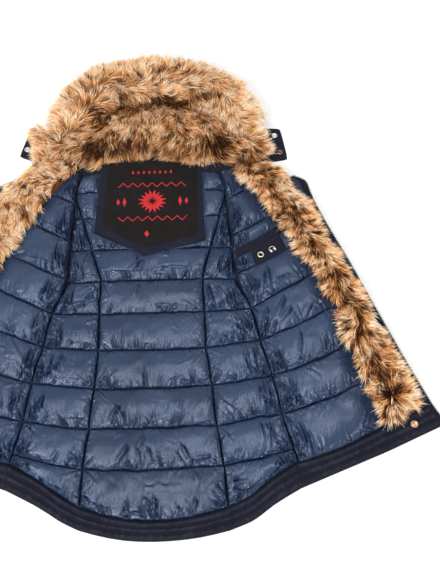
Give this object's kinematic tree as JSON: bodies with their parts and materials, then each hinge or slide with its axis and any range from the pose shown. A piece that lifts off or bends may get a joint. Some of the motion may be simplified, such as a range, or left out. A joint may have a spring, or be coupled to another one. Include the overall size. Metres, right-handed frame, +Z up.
{
  "type": "fur trimmed parka",
  "caption": "Quilted parka laid open flat on its back, lining up, with a fur lined hood, fur strips along the fronts, an inner pocket and a curved hem.",
  "frame": {"origin": "on the resting surface, under the waist line of the centre back", "axes": "+X to the garment's side with the inner pocket, +Y towards the hood, +Z up from the resting surface through the lining"},
  "size_m": [0.9554, 0.963, 0.0697],
  "materials": {
    "shell_navy": "matt tightly woven outer fabric, dark navy",
    "lining_blue": "quilted slate blue nylon taffeta with a soft sheen",
    "facing_navy": "matt navy facing fabric",
    "label_black": "matt black satin with red stitched lines",
    "fur_honey": "long synthetic pile, honey brown with dark patches and cream tips",
    "zip_navy": "woven zip tape with dark moulded teeth",
    "snap_silver": "plated steel, polished",
    "snap_copper": "copper plated, softly polished"
  },
  "bodies": {
    "root": {"back_shell": "shell_navy", "back_lining_centre": "lining_blue", "back_lining_side_left": "lining_blue", "back_lining_side_right": "lining_blue", "front_shell_left": "shell_navy", "front_shell_right": "shell_navy", "front_lining_left": "lining_blue", "front_lining_right": "lining_blue", "hem_facing_back": "shell_navy", "hem_facing_front_left": "shell_navy", "hem_facing_front_right": "shell_navy", "neck_facing": "facing_navy", "neck_label": "label_black", "pocket_panel": "facing_navy", "pocket_eyelet": "snap_silver", "fur_front_left": "fur_honey", "fur_front_right": "fur_honey", "hood_shell": "shell_navy", "hood_fur_lining": "fur_honey", "hood_fur_brim": "fur_honey", "hood_tab_left": "shell_navy", "hood_tab_right": "shell_navy", "tab_snap_upper_left": "snap_copper", "tab_snap_upper_right": "snap_silver", "tab_snap_lower_left": "snap_silver", "tab_snap_lower_right": "snap_copper", "hem_snap_left": "snap_copper", "hem_snap_right": "snap_copper", "zip_left": "zip_navy", "zip_right": "zip_navy", "sleeve_left": "shell_navy", "sleeve_right": "shell_navy"}
  },
  "joints": []
}
